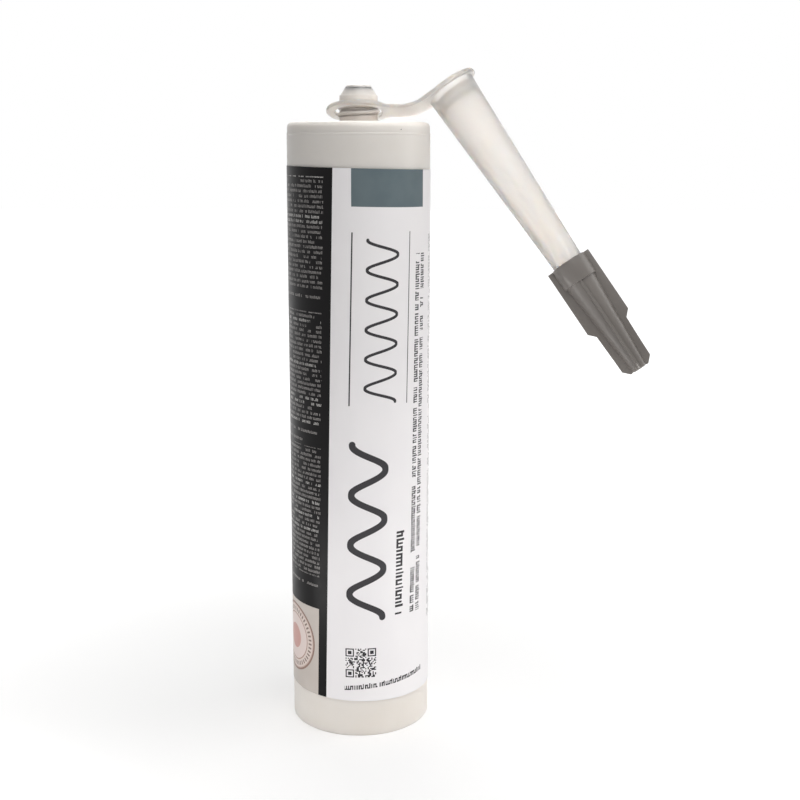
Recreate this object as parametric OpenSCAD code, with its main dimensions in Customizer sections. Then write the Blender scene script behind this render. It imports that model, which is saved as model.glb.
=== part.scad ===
// Sealant cartridge: a moulded barrel with a wrap label, paste and piston inside,
// a nozzle hanging by its strap from a loose ring round the neck, and a finned cap.
// The origin is at the centre of the open base. +Z points up, and the nozzle hangs towards +X.

/* [Barrel] */
// Height from the open base to the flat shoulder
barrel_h = 215; // [150:1:260]
// Outer diameter at the open base
base_d = 50; // [46:0.5:60]
// Wall thickness at the base, where it is thickest
wall = 1.65; // [1.3:0.05:2.5]
// Draft: how much the outer radius shrinks from the base to the head
draft = 0.3; // [0:0.05:0.6]
// Height of the smooth head band below the shoulder
head_h = 3.8; // [2.5:0.1:8]
// How far the head band stands in from the barrel
head_step = 0.15; // [0.1:0.05:0.6]
// Radius of the head's upper edge
head_round = 1.8; // [0.5:0.1:2.4]
// Thickness of the shoulder plate
shoulder_t = 2; // [1.2:0.1:3]
// Radius of the outer edge of the open base
rim_round = 0.5; // [0.2:0.1:0.8]

/* [Neck] */
// Diameter of the neck under its thread
neck_d = 13.1; // [11:0.1:13.4]
// Height of the neck's straight part above the shoulder
neck_h = 9; // [7:0.5:12]
// How far the thread stands out from the neck
thread_h = 0.75; // [0.4:0.05:0.9]
// Rise of the thread in one turn
thread_pitch = 2.5; // [2:0.1:3]
// Number of turns of the thread
thread_turns = 2.5; // [1:0.5:3]
// Gap between the shoulder and the middle of the thread's first turn
thread_start = 1.2; // [1:0.1:2]
// Diameter at the foot of the sealed tip
tip_foot_d = 12.6; // [9:0.1:13]
// Diameter at the top of the sealed tip
tip_top_d = 8; // [5:0.1:10]
// Height of the sealed tip
tip_h = 3.4; // [2:0.1:6]
// Rise of the domed top of the tip
tip_dome = 0.4; // [0.1:0.1:1]
// Diameter of the passage through the neck
neck_bore_d = 9.2; // [5:0.1:10]
// Thickness of the membrane that seals the tip
membrane_t = 0.9; // [0.5:0.1:2]

/* [Label] */
// Thickness of the wrap film
label_t = 0.15; // [0.1:0.05:0.4]
// Gap for the glue between the film and the barrel
label_gap = 0.02; // [0.01:0.01:0.05]
// Height of the label's lower edge, at the axis
label_low = 13.4; // [5:0.1:40]
// Height of the label's upper edge, at the axis
label_high = 199.8; // [120:0.1:205]
// Slant of the label's upper and lower edges, in degrees
label_tilt = 1.3; // [0:0.05:2]
// Angle of the seam between the white and the black panel, left of the front
seam_turn = 23; // [5:1:60]
// Slant of that seam, in degrees
seam_tilt = 1.25; // [0:0.05:2]
// Width of the black panel round the tube, in degrees
panel_turn = 128; // [60:1:170]
// Angle of the black strip that is left beside the low taupe panel
strip_turn = 8; // [3:0.5:20]
// Width of the low taupe panel round the tube, in degrees
taupe_turn = 68; // [50:1:110]
// Height of the low taupe panel's upper edge
taupe_high = 46; // [44:0.5:90]
// Diameter of the round badge
badge_d = 25; // [12:0.5:28]
// Width of the badge's rim
badge_rim = 2.6; // [1:0.1:4]
// Diameter of the badge's middle
badge_core_d = 10; // [4:0.5:12]
// Height of the badge's centre
badge_z = 33.4; // [28:0.1:33.4]
// Angle of the badge's centre, left of the front
badge_turn = 67; // [62:0.5:72]
// Angle of the grey box's left edge, left of the front
box_left = 5; // [0:0.5:15]
// Angle of the grey box's right edge, right of the front
box_right = 62; // [20:0.5:80]
// Height of the grey box
box_h = 12.1; // [5:0.1:30]

/* [Piston] */
// Height of the piston
piston_h = 18; // [12:0.5:30]
// Depth of the piston's skirt inside the open base
piston_recess = 12; // [3:0.5:25]
// Running gap between the piston and the bore
piston_gap = 0.05; // [0.02:0.01:0.1]
// Height of each sealing lip
lip_h = 2.6; // [1.5:0.1:4]
// How far the waist between the lips stands in
waist_in = 0.7; // [0.3:0.1:1.2]
// Thickness of the piston's skirt below its waist
skirt_t = 1.4; // [0.8:0.1:2.5]
// Thickness of the piston's crown
crown_t = 1.8; // [1:0.1:3]
// Diameter of the hub under the crown
hub_d = 12; // [8:0.5:20]
// Number of ribs from the hub to the skirt
rib_count = 4; // [4:1:12]
// Thickness of each rib
rib_t = 1.2; // [0.8:0.1:2]
// Height of the ribs and the hub
rib_h = 8; // [4:0.5:9]

/* [Ring and strap] */
// Outer diameter of the loose ring
ring_d = 22; // [19:0.5:26]
// Gap between the ring's hole and the thread it is slipped over, all round
ring_slack = 0.8; // [0.7:0.05:1.5]
// Thickness of the ring and its strap
strap_t = 1.4; // [1:0.1:2]
// Width of the strap at the fold
strap_w = 12; // [8:0.5:14]
// Radius of the fillets where the strap meets the ring
strap_fillet = 2.5; // [1:0.1:4]
// Tilt of the ring, with its front edge up and its back edge on the shoulder
ring_tilt = 16; // [8:0.5:16]
// Gap between the ring's lowest edge and the shoulder
ring_seat = 0.05; // [0.02:0.01:0.3]
// Distance from the ring's centre to the strap's fold
ring_reach = 18.4; // [16:0.1:22]
// Distance from the strap's fold to the flange's centre
flange_reach = 15; // [14:0.1:20]
// Angle through which the strap is folded up at rest
fold = 33.4; // [10:0.1:60]
// Radius of the thin web at the fold
web_r = 0.35; // [0.2:0.05:0.5]
// Gap round the web
web_gap = 0.08; // [0.05:0.01:0.1]

/* [Nozzle] */
// Diameter of the flange
flange_d = 19.9; // [18:0.1:24]
// Thickness of the flange
flange_t = 1.5; // [1.4:0.1:2.5]
// Diameter of the cone under the flange
cone_top_d = 16.9; // [16.5:0.1:17.5]
// Diameter of the cone at the step where the cap seats
cone_low_d = 10.2; // [9.6:0.1:11]
// Length from the flange's middle to that step
cone_len = 78.3; // [50:0.1:100]
// Wall thickness of the cone
cone_wall = 1.1; // [0.8:0.05:1.5]
// Gap between the neck's thread and the socket that screws over it
socket_gap = 0.15; // [0.1:0.05:0.3]
// Depth of the threaded socket
socket_h = 9; // [8:0.5:10]
// Number of turns of the thread inside the socket
socket_turns = 2; // [1:0.5:2]
// Height of the slope between the socket and the cone's hollow
socket_slope = 1; // [0.5:0.5:2]
// Diameter at the top of the spout, under the cap
spout_top_d = 8.7; // [8:0.1:9]
// Diameter at the end of the spout
spout_end_d = 4; // [3.4:0.1:4.6]
// Length of the spout
spout_len = 32.2; // [24:0.1:36]
// Diameter of the outlet at the end of the spout
outlet_d = 2; // [1:0.1:2.4]
// Length of the outlet's straight end
outlet_len = 1.5; // [0.5:0.5:4]
// Chamfer of the nozzle's edges
nozzle_edge = 0.3; // [0.1:0.1:0.4]

/* [Cap] */
// Length of the cap
cap_len = 43.5; // [42:0.5:55]
// How far the cap's mouth reaches up over the step in the nozzle
cap_grip = 5.5; // [3:0.1:7]
// Gap between the cap and the nozzle
cap_gap = 0.08; // [0.03:0.01:0.1]
// Chamfer inside the cap's mouth
cap_lead = 0.3; // [0.1:0.1:0.5]
// Gap between the end of the spout and the closed end inside the cap
spout_room = 0.6; // [0.3:0.1:2]
// Wall of the collar at the cap's mouth
collar_wall = 0.95; // [0.7:0.05:1.5]
// Length of the collar
collar_h = 7.8; // [7.2:0.1:12]
// How much the collar's radius shrinks down its length
collar_draft = 0.2; // [0:0.05:0.4]
// Diameter of the body just below the collar
body_top_d = 10.8; // [10.4:0.1:11.5]
// Diameter of the body at the closed end
body_end_d = 5.6; // [5.2:0.1:7]
// Rounding of the closed end
end_round = 1; // [0.3:0.1:2]
// Width across the two wide fins
wing_span = 16.2; // [14:0.1:22]
// Length of the fins' wide part
wing_len = 24.3; // [14:0.1:30]
// Length of the slope where the wide fins step in
wing_slope = 2.1; // [0.5:0.1:5]
// Width across the fins below the step
fin_span = 11.7; // [11.5:0.1:13]
// How much the fins' reach shrinks down their length
fin_draft = 0.3; // [0:0.05:0.5]
// Length of the slope at the fins' ends
fin_slope = 2.2; // [0.5:0.1:4]
// Width across the fins at the closed end
fin_end_span = 6.8; // [6:0.1:8]
// Thickness of each fin
fin_t = 1; // [0.6:0.1:2]
// Turn of the cap on the nozzle, in degrees
cap_turn = -11; // [-45:1:90]

/* [Hidden] */
$fn = 96;
eps = 0.01;

base_r = base_d / 2;
bore_r = base_r - wall;
ledge_z = barrel_h - head_h;
head_r = outer_r(ledge_z) - head_step;
ceiling_z = barrel_h - shoulder_t;
neck_r = neck_d / 2;
crest_r = neck_r + thread_h;
neck_top = barrel_h + neck_h;
tip_top = neck_top + tip_h;
neck_bore_r = neck_bore_d / 2;
passage_top = tip_top - membrane_t;
thread_foot = 0.72 * thread_pitch;
thread_flat = 0.28 * thread_pitch;
thread_sink = 0.25;

label_mid = (label_low + label_high) / 2;
label_span = label_high - label_low;

piston_r = bore_r - piston_gap;
crown_z = piston_recess + piston_h;

ring_r = ring_d / 2;
ring_bore_r = crest_r + ring_slack;
ring_drop = ring_r * sin(ring_tilt) + strap_t / 2 * cos(ring_tilt);
ring_z = barrel_h + ring_seat + ring_drop;

flange_r = flange_d / 2;
cone_top_r = cone_top_d / 2;
cone_low_r = cone_low_d / 2;
socket_r = crest_r + socket_gap;
socket_crest_r = neck_r + socket_gap;
spout_top_r = spout_top_d / 2;
spout_end_r = spout_end_d / 2;
nozzle_len = cone_len + spout_len;

cap_top = cone_len - cap_grip;
mouth_r = cone_r(cap_top) + cap_gap;
collar_r = mouth_r + collar_wall;

// Outer radius of the barrel at a height
function outer_r(z) = base_r - draft * z / ledge_z;

// Outer radius of the nozzle's cone at a distance below the flange's middle
function cone_r(s) = cone_top_r - (cone_top_r - cone_low_r) * (s - flange_t / 2) / (cone_len - flange_t / 2);

// Points of an arc in the plane of a profile
function arc(x, z, r, from, to, steps = 6) =
    [for (i = [0:steps]) let (a = from + (to - from) * i / steps) [x + r * cos(a), z + r * sin(a)]];

// One ring of four points across a thread, at turn t
function thread_ring(r_foot, r_crest, t) = let (a = 360 * t, z = thread_pitch * t) [
    for (p = [[r_foot, -thread_foot], [r_crest, -thread_flat], [r_crest, thread_flat], [r_foot, thread_foot]])
        [p[0] * cos(a), p[0] * sin(a), z + p[1] / 2]];

// A screw thread as one closed solid, from its foot radius to its crest radius
module thread(r_foot, r_crest, turns, steps = 28) {
    count = round(turns * steps);
    points = [for (i = [0:count]) each thread_ring(r_foot, r_crest, i / steps)];
    sides = [for (i = [0:count - 1], k = [0:3]) let (n = (k + 1) % 4)
        each [[4 * i + k, 4 * i + n, 4 * i + 4 + n], [4 * i + k, 4 * i + 4 + n, 4 * i + 4 + k]]];
    last = 4 * count;
    ends = [[0, 3, 2], [0, 2, 1], [last, last + 1, last + 2], [last, last + 2, last + 3]];
    faces = concat(sides, ends);
    polyhedron(points, r_foot < r_crest ? faces : [for (f = faces) [f[2], f[1], f[0]]]);
}

module barrel() {
    color("antiquewhite") {
        rotate_extrude() polygon(concat(
            [[bore_r, 0]],
            arc(outer_r(rim_round) - rim_round, rim_round, rim_round, -90, 0),
            [[outer_r(ledge_z), ledge_z], [head_r, ledge_z]],
            arc(head_r - head_round, barrel_h - head_round, head_round, 0, 90),
            [[neck_r, barrel_h], [neck_r, neck_top], [tip_foot_d / 2, neck_top]],
            [[tip_top_d / 2, tip_top], [tip_top_d / 4, tip_top + 0.75 * tip_dome], [0, tip_top + tip_dome]],
            [[0, passage_top], [neck_bore_r, passage_top]],
            [[neck_bore_r, ceiling_z], [bore_r, ceiling_z]]
        ));
        translate([0, 0, barrel_h + thread_start]) thread(neck_r - thread_sink, crest_r, thread_turns);
    }
}

// The film's whole wrap: a sleeve on the barrel, with both edges slanted
module label_wrap() {
    inner = outer_r(0) + label_gap;
    intersection() {
        rotate_extrude() polygon([
            [inner, 0], [inner + label_t, 0],
            [inner + label_t - draft, ledge_z], [inner - draft, ledge_z]
        ]);
        translate([0, 0, label_mid]) rotate([0, label_tilt, 0]) cube([3 * base_r, 3 * base_r, label_span], center = true);
    }
}

// A sector of the wrap from one angle to another, counted to the right of the front, between two heights.
// Its sides are slanted planes through the axis.
module label_sector(left, right, low, high, slant) {
    reach = 2 * base_r;
    middle = (left + right) / 2;
    half = (right - left) / 2;
    translate([0, 0, label_mid]) rotate([0, 0, left]) rotate([0, slant, 0]) rotate([0, 0, -left + middle])
        translate([0, 0, low - label_mid]) linear_extrude(high - low)
            polygon([[0, 0], [-reach * tan(half), -reach], [reach * tan(half), -reach]]);
}

// The badge's place: a round bar along the radius through the badge's centre
module badge_bar(d) {
    rotate([0, 0, -badge_turn]) translate([0, -base_r, badge_z]) rotate([90, 0, 0]) cylinder(d = d, h = 4, center = true);
}

module taupe_area() {
    from = seam_turn + strip_turn;
    label_sector(-from - taupe_turn, -from, -10, taupe_high, seam_tilt);
}

module black_area() {
    half = panel_turn / 2;
    label_sector(-seam_turn - half, -seam_turn, -10, barrel_h, seam_tilt);
    label_sector(-seam_turn - panel_turn, -seam_turn - half, -10, barrel_h, seam_tilt);
}

module box_area() {
    label_sector(-box_left, box_right, label_high - box_h, barrel_h, 0);
}

module label() {
    color("whitesmoke") difference() {
        label_wrap();
        black_area();
        box_area();
    }
    color([0.09, 0.09, 0.1]) difference() {
        intersection() {
            label_wrap();
            black_area();
        }
        taupe_area();
    }
    color([0.42, 0.41, 0.39]) difference() {
        intersection() {
            label_wrap();
            taupe_area();
        }
        badge_bar(badge_d);
    }
    color([0.68, 0.55, 0.5]) intersection() {
        label_wrap();
        difference() {
            badge_bar(badge_d);
            badge_bar(badge_d - 2 * badge_rim);
        }
    }
    color([0.9, 0.87, 0.84]) intersection() {
        label_wrap();
        difference() {
            badge_bar(badge_d - 2 * badge_rim);
            badge_bar(badge_core_d);
        }
    }
    color([0.62, 0.25, 0.22]) intersection() {
        label_wrap();
        badge_bar(badge_core_d);
    }
    color([0.4, 0.45, 0.47]) intersection() {
        label_wrap();
        box_area();
    }
}

module sealant() {
    color("gray") {
        translate([0, 0, crown_z]) cylinder(r = bore_r, h = ceiling_z - crown_z);
        translate([0, 0, ceiling_z]) cylinder(r = neck_bore_r, h = passage_top - ceiling_z);
    }
}

module piston() {
    inner_r = piston_r - waist_in - skirt_t;
    rib_z = piston_h - crown_t - rib_h;
    color("ghostwhite") translate([0, 0, piston_recess]) {
        rotate_extrude() polygon([
            [inner_r, 0], [piston_r - lip_h / 4, 0], [piston_r, lip_h / 2], [piston_r, lip_h],
            [piston_r - waist_in, lip_h + waist_in], [piston_r - waist_in, piston_h - lip_h - waist_in],
            [piston_r, piston_h - lip_h], [piston_r, piston_h],
            [0, piston_h], [0, piston_h - crown_t], [inner_r, piston_h - crown_t]
        ]);
        translate([0, 0, rib_z]) difference() {
            union() {
                cylinder(d = hub_d, h = rib_h + eps);
                for (i = [0:rib_count - 1]) rotate([0, 0, 360 * i / rib_count])
                    translate([0, -rib_t / 2, 0]) cube([inner_r + skirt_t / 2, rib_t, rib_h + eps]);
            }
            translate([0, 0, -eps]) cylinder(d = hub_d - 2 * skirt_t, h = rib_h + eps);
        }
    }
}

// The tilted plane of the ring, with the ring's centre on the barrel's axis
module ring_place() {
    translate([0, 0, ring_z]) rotate([-ring_tilt, 0, 0]) children();
}

// The flange's place beyond the fold: its centre at half its thickness, the spout along -Z
module nozzle_place() {
    ring_place() translate([ring_reach, 0, strap_t / 2]) rotate([0, -fold, 0])
        translate([flange_reach, 0, -strap_t / 2]) children();
}

// Plan of a strap that leaves a disc along +X, with a fillet at each side
module strap_plan(disc_r, end_x) {
    centre_y = strap_w / 2 + strap_fillet - eps;
    centre_x = sqrt((disc_r + strap_fillet - eps) ^ 2 - centre_y ^ 2);
    touch = disc_r / (disc_r + strap_fillet);
    translate([0, -strap_w / 2]) square([end_x, strap_w]);
    for (side = [-1, 1]) scale([1, side]) difference() {
        polygon([[0, 0], [centre_x * touch, centre_y * touch], [centre_x, centre_y], [centre_x, 0]]);
        translate([centre_x, centre_y]) circle(r = strap_fillet);
    }
}

// Plan of the strap's other part, which widens from the fold at +X to touch a disc at both sides
module flare_plan(disc_r, end_x) {
    half = strap_w / 2;
    turn = atan2(half, end_x) + acos(disc_r / sqrt(end_x ^ 2 + half ^ 2));
    hit = (disc_r - 10 * eps) * [cos(turn), sin(turn)];
    polygon([[0, 0], hit, [end_x, half], [end_x, -half], [hit[0], -hit[1]]]);
}

module retaining_ring() {
    color("white", 0.9) ring_place() {
        linear_extrude(strap_t, center = true) difference() {
            union() {
                circle(r = ring_r);
                strap_plan(ring_r, ring_reach);
            }
            circle(r = ring_bore_r);
        }
        translate([ring_reach, 0, strap_t / 2]) rotate([90, 0, 0]) rotate([0, 0, 22.5])
            cylinder(r = web_r, h = strap_w, center = true, $fn = 8);
    }
}

module nozzle() {
    top = flange_t / 2;
    edge = nozzle_edge;
    color("ivory", 0.9) nozzle_place() {
        difference() {
            union() {
                rotate_extrude() polygon([
                    [0, top], [flange_r - edge, top], [flange_r, top - edge],
                    [flange_r, edge - top], [flange_r - edge, -top], [cone_top_r + edge, -top],
                    [cone_r(top + edge), -top - edge], [cone_low_r, -cone_len], [spout_top_r, -cone_len],
                    [spout_end_r, edge - nozzle_len], [spout_end_r - edge, -nozzle_len], [0, -nozzle_len]
                ]);
                difference() {
                    linear_extrude(strap_t, center = true) mirror([1, 0]) flare_plan(flange_r, flange_reach);
                    translate([-flange_reach, 0, strap_t / 2]) rotate([90, 0, 0])
                        cylinder(r = web_r + web_gap, h = 2 * strap_w, center = true);
                }
            }
            rotate_extrude() polygon([
                [0, top + eps], [socket_r, top + eps], [socket_r, -socket_h],
                [cone_r(socket_h) - cone_wall, -socket_h - socket_slope], [cone_low_r - cone_wall, -cone_len + cone_wall],
                [spout_top_r - cone_wall, -cone_len], [outlet_d / 2, outlet_len - nozzle_len],
                [outlet_d / 2, -nozzle_len - eps], [0, -nozzle_len - eps]
            ]);
        }
        translate([0, 0, thread_pitch / 2 - socket_h]) thread(socket_r + thread_sink, socket_crest_r, socket_turns);
    }
}

// One pair of opposite fins: half-widths at the mouth, below the step and at the closed end
module fin_pair(top_r, length, start) {
    low_r = fin_span / 2;
    step = length + wing_slope;
    run = cap_len - fin_slope;
    outline = [
        [0, -start], [top_r, -start], [top_r, -length], [low_r, -step],
        [low_r - fin_draft, -run], [fin_end_span / 2, -cap_len], [0, -cap_len]
    ];
    for (side = [0, 180]) rotate([0, 0, side]) rotate([90, 0, 0]) linear_extrude(fin_t, center = true) polygon(outline);
}

module cap() {
    body_top_r = body_top_d / 2;
    body_end_r = body_end_d / 2;
    color("dimgray") nozzle_place() translate([0, 0, -cap_top]) rotate([0, 0, cap_turn]) difference() {
        union() {
            rotate_extrude() polygon(concat(
                [[0, 0], [collar_r, 0], [collar_r - collar_draft, -collar_h], [body_top_r, -collar_h]],
                arc(body_end_r - end_round, end_round - cap_len, end_round, 0, -90, 5),
                [[0, -cap_len]]
            ));
            fin_pair(wing_span / 2, wing_len, 0);
            rotate([0, 0, 90]) fin_pair(fin_span / 2, collar_h, collar_h - 1);
        }
        rotate_extrude() polygon([
            [0, eps], [mouth_r + cap_lead, eps], [mouth_r, -cap_lead], [cone_low_r + cap_gap, -cap_grip - cap_gap],
            [spout_top_r + cap_gap, -cap_grip - cap_gap], [spout_end_r + cap_gap, -cap_grip - spout_len],
            [spout_end_r + cap_gap, -cap_grip - spout_len - spout_room], [0, -cap_grip - spout_len - spout_room]
        ]);
    }
}

barrel();
label();
sealant();
piston();
retaining_ring();
nozzle();
cap();
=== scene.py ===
"""Looks for the sealant cartridge: barrel, printed wrap, hanging nozzle and cap.

Shapes are built in millimetres in the part's frame and become metres where they are placed.
"""
import math

import bmesh
import bpy
from mathutils import Matrix, Vector


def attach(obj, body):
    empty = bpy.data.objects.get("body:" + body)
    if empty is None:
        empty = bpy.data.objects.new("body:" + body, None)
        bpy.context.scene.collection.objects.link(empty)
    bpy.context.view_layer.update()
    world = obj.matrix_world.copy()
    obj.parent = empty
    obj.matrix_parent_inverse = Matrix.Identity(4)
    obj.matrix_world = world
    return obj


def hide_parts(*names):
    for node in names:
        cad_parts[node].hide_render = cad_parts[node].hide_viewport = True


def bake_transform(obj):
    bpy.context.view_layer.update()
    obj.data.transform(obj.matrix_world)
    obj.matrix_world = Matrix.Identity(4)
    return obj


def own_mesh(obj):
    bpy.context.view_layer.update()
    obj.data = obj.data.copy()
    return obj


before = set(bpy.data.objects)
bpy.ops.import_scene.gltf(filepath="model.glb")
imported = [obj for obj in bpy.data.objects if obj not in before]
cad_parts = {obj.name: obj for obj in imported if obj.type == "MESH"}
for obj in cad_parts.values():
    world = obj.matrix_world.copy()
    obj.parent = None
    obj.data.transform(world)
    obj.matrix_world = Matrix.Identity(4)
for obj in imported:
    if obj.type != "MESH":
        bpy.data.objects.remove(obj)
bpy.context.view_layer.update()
MM = 0.001

# Barrel: a slightly tapered tube with a narrower head band
BARREL_H = 215.0
BASE_R = 25.0
BORE_R = 23.35
DRAFT = 0.3
HEAD_H = 3.8
HEAD_STEP = 0.15
HEAD_ROUND = 1.8
SHOULDER_T = 2.0
RIM_ROUND = 0.5
LEDGE_Z = BARREL_H - HEAD_H

# Neck with its thread, passage and sealed tip
NECK_R = 6.55
NECK_H = 9.0
CREST_R = 7.3
PITCH = 2.5
NECK_TURNS = 2.5
THREAD_START = 1.2
TIP_FOOT_R = 6.3
TIP_TOP_R = 4.0
TIP_H = 3.4
TIP_DOME = 0.4
NECK_BORE_R = 4.6
MEMBRANE = 0.9

# Label: its film, and its seam at the back
LABEL_T = 0.15
LABEL_LOW = 13.4
LABEL_HIGH = 199.8
LABEL_TILT = math.radians(1.3)
LABEL_GAP = 0.02
SEAM_TURN = 150.0          # degrees from the front
WRAP_TURN = 366.0
LAP_START = 357.0
LAP_RISE = 3.0             # degrees over which the end climbs on the start
LAP_GAP = 0.12

# Piston and paste
PISTON_Z = 12.0
PISTON_H = 18.0
PASTE_GAP = 0.02
PASTE_SIDE_GAP = 0.03
PASTE_ROUND = 0.3

# Ring, strap and flange, as they lie flat
RING_R = 11.0
HOLE_R = 8.1
STRAP_T = 1.4
STRAP_W = 12.0
STRAP_EDGE = 0.3
FILLET = 2.5
RING_Z = 218.755
RING_TILT = math.radians(16)
REACH = 18.4               # from the ring's middle to the fold
FLANGE_REACH = 15.0        # from the fold to the flange's middle
FOLD = math.radians(33.4)
FOLD_CORNER = 3.0          # how much of each edge the fold's corner rounds off
BEND_RUN = 4.6             # length on either side of the fold that bends
BEND_CUTS = 28
FLANGE_R = 9.95
FLANGE_T = 1.5

# Cone, threaded socket and spout, measured from the flange's middle
CONE_TOP = 8.45
CONE_LOW = 5.1
CONE_LEN = 78.3
CONE_WALL = 1.1
SOCKET_R = 7.45
SOCKET_H = 9.0
SOCKET_EDGE = 0.15
SOCKET_TURNS = 2
SPOUT_TOP = 4.35
SPOUT_END = 2.0
SPOUT_LEN = 32.2
SPOUT_HOLE_R = 1.0
SPOUT_TIP = 1.5            # solid end of the spout, but for its hole
PLATE_GAP = 0.6            # how far the plate's hole stays outside the socket
THREAD_GAP = 0.15          # between the neck and the crest of the socket's thread

# Cap: a tapered body with a collar, two side wings and two ribs
CAP_LEN = 43.5
CAP_GRIP = 5.5             # how far the cap reaches over the cone
CAP_GAP = 0.08
CAP_TURN = math.radians(-11)
CAP_ROUND = 1.0
CAP_ROOM = 0.6             # left free beyond the spout's end
CAP_BODY_TOP = 5.4
CAP_BODY_END = 2.8
COLLAR_H = 7.8
COLLAR_WALL = 0.95
FIN_T = 1.0
FIN_TOP_R = 5.85
FIN_END_R = 3.4
FIN_CUT = 2.2              # height of the cut corner at the end of a fin
WING_R = 8.1
WING_LEN = 24.3
WING_SLOPE = 2.1

QUARTER = math.pi / 2


def outer_r(z):
    """The barrel's outer radius at a height."""
    return BASE_R - DRAFT * z / LEDGE_Z


def cone_r(s):
    """The cone's outer radius at a depth below the flange's middle."""
    half = FLANGE_T / 2
    return CONE_TOP - (CONE_TOP - CONE_LOW) * (s - half) / (CONE_LEN - half)


# Places, as matrices in metres: the tilted ring, the nozzle beyond the fold, and the cap on its spout
TO_M = Matrix.Scale(MM, 4)
RING_AT = TO_M @ Matrix.Translation((0, 0, RING_Z)) @ Matrix.Rotation(-RING_TILT, 4, "X")
FOLD_AT = RING_AT @ Matrix.Translation((REACH, 0, STRAP_T / 2)) @ Matrix.Rotation(-FOLD, 4, "Y")
NOZZLE_AT = FOLD_AT @ Matrix.Translation((FLANGE_REACH, 0, -STRAP_T / 2))
CAP_AT = NOZZLE_AT @ Matrix.Translation((0, 0, CAP_GRIP - CONE_LEN)) @ Matrix.Rotation(CAP_TURN, 4, "Z")


# Mesh helpers

def new_piece(name, bm, at=TO_M, body=None, smooth=40):
    """A piece from a bmesh in millimetres, placed, with smooth shading below an angle in degrees."""
    bmesh.ops.recalc_face_normals(bm, faces=bm.faces)
    mesh = bpy.data.meshes.new(name)
    bm.to_mesh(mesh)
    bm.free()
    mesh.transform(at)
    obj = bpy.data.objects.new(name, mesh)
    bpy.context.scene.collection.objects.link(obj)
    shade(mesh, smooth)
    if body:
        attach(obj, body)
    return obj


def shade(mesh, smooth):
    """Smooth shading, but for the edges that turn by more than an angle in degrees."""
    mesh.polygons.foreach_set("use_smooth", [True] * len(mesh.polygons))
    bm = bmesh.new()
    bm.from_mesh(mesh)
    for edge in bm.edges:
        edge.smooth = not (len(edge.link_faces) == 2 and edge.calc_face_angle(0) > math.radians(smooth))
    bm.to_mesh(mesh)
    bm.free()


def arc(x, y, r, start, end, n):
    """Points along an arc about (x, y), between two angles."""
    angles = [start + (end - start) * i / n for i in range(n + 1)]
    return [(x + r * math.cos(a), y + r * math.sin(a)) for a in angles]


def corner(r, z, steps):
    """Points that stand in for a sharp corner at (r, z), as steps from it."""
    return [(r + dr, z + dz) for dr, dz in steps]


def lathe(bm, profile, n):
    """Turns a profile of (radius, height) about the Z axis. A radius of 0 closes it with a point."""
    turns = [2 * math.pi * i / n for i in range(n)]
    rings = []
    for r, z in profile:
        if r == 0:
            rings.append([bm.verts.new((0, 0, z))])
        else:
            rings.append([bm.verts.new((r * math.cos(a), r * math.sin(a), z)) for a in turns])
    for a, b in zip(rings, rings[1:]):
        for i in range(n):
            j = (i + 1) % n
            if len(a) == 1:
                bm.faces.new((a[0], b[j], b[i]))
            elif len(b) == 1:
                bm.faces.new((a[i], a[j], b[0]))
            else:
                bm.faces.new((a[i], a[j], b[j], b[i]))


# Half of a thread's section: shares of the pitch from its middle, and shares of its height
THREAD_SIDE = [(0.36, 0), (0.3, 0.25), (0.2, 0.75), (0.13, 0.96)]
THREAD_SINK = 0.25         # how far its back lies inside the wall
THREAD_FOOT = 0.2          # share of that by which its foot lies inside the wall
THREAD_FADE = 0.12         # part of a turn over which an end runs out into the wall
THREAD_STEPS = 64


def thread_r(share, foot_r, crest_r, sink, fade):
    """Radius of a point of the thread: None is its back, and 0 is its foot just inside the wall."""
    if share is None:
        return foot_r - sink
    if share == 0:
        return foot_r - sink * THREAD_FOOT
    return foot_r + (crest_r - foot_r) * share * fade


def thread(bm, foot_r, crest_r, turns, low):
    """A screw thread with a rounded crest. It stands inward where the crest's radius is the smaller one."""
    sink = THREAD_SINK if foot_r < crest_r else -THREAD_SINK
    left = [(-u, share) for u, share in THREAD_SIDE]
    right = THREAD_SIDE[::-1]
    half = THREAD_SIDE[0][0]
    section = [(-half, None)] + left + [(0.0, 1.0)] + right + [(half, None)]
    n = int(turns * THREAD_STEPS)
    rows = []
    for i in range(n + 1):
        t = i / THREAD_STEPS
        fade = min(1, min(i, n - i) / (THREAD_FADE * THREAD_STEPS))
        fade = fade * fade * (3 - 2 * fade)
        a = 2 * math.pi * t
        row = []
        for u, share in section:
            r = thread_r(share, foot_r, crest_r, sink, fade)
            row.append(bm.verts.new((r * math.cos(a), r * math.sin(a), low + PITCH * (t + u))))
        rows.append(row)
    for a, b in zip(rows, rows[1:]):
        for k in range(len(a)):
            j = (k + 1) % len(a)
            bm.faces.new((a[k], a[j], b[j], b[k]))
    bm.faces.new(rows[0])
    bm.faces.new(rows[-1][::-1])


# Shader helpers

def plug(tree, socket, value):
    """Links a value to a socket where it comes from a node, and otherwise sets it on the socket."""
    if isinstance(value, Sock):
        value = value.value
    if isinstance(value, bpy.types.NodeSocket):
        tree.links.new(value, socket)
    elif socket.type == "RGBA":
        socket.default_value = (*value, 1)
    else:
        socket.default_value = value


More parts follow.
